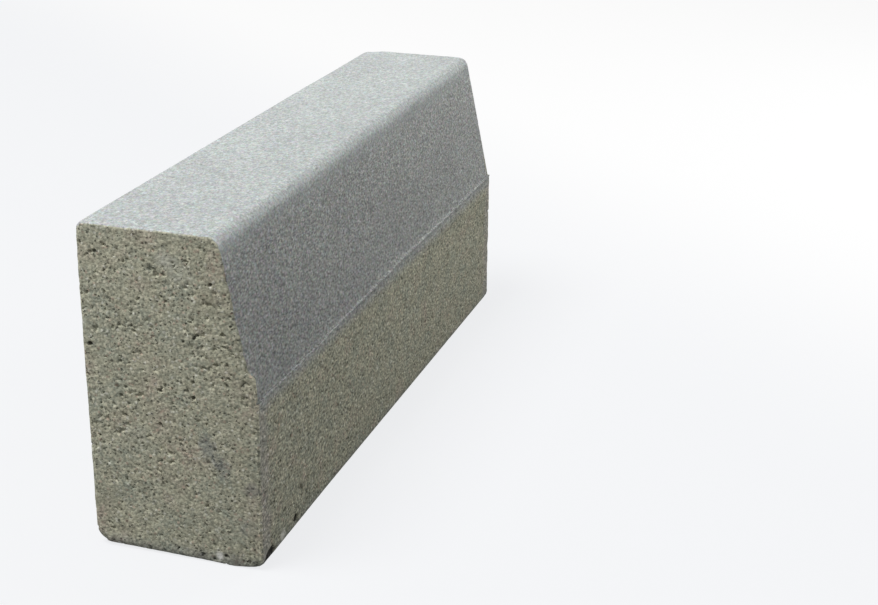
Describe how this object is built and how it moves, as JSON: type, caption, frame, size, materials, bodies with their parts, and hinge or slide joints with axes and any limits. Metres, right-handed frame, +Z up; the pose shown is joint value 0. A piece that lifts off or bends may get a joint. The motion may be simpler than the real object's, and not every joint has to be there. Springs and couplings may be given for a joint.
{
  "type": "concrete kerb stone",
  "caption": "Cast concrete kerb stone: upright lower road face, battered upper road face meeting a flat top in a soft rounded arris, square ends and a flat back and base.",
  "frame": {"origin": "middle of the base, on the level bed that the kerb stands on", "axes": "+X along the kerb, +Y out of the back, -Y out of the road face, +Z up"},
  "size_m": [0.66, 0.15, 0.28],
  "materials": {
    "concrete": "pressed grey concrete: a smooth fine facing mix on the top and the batter, open pitted semi-dry mix on the ends, the back and the foot"
  },
  "bodies": {
    "root": {"kerb_stone": "concrete"}
  },
  "joints": []
}
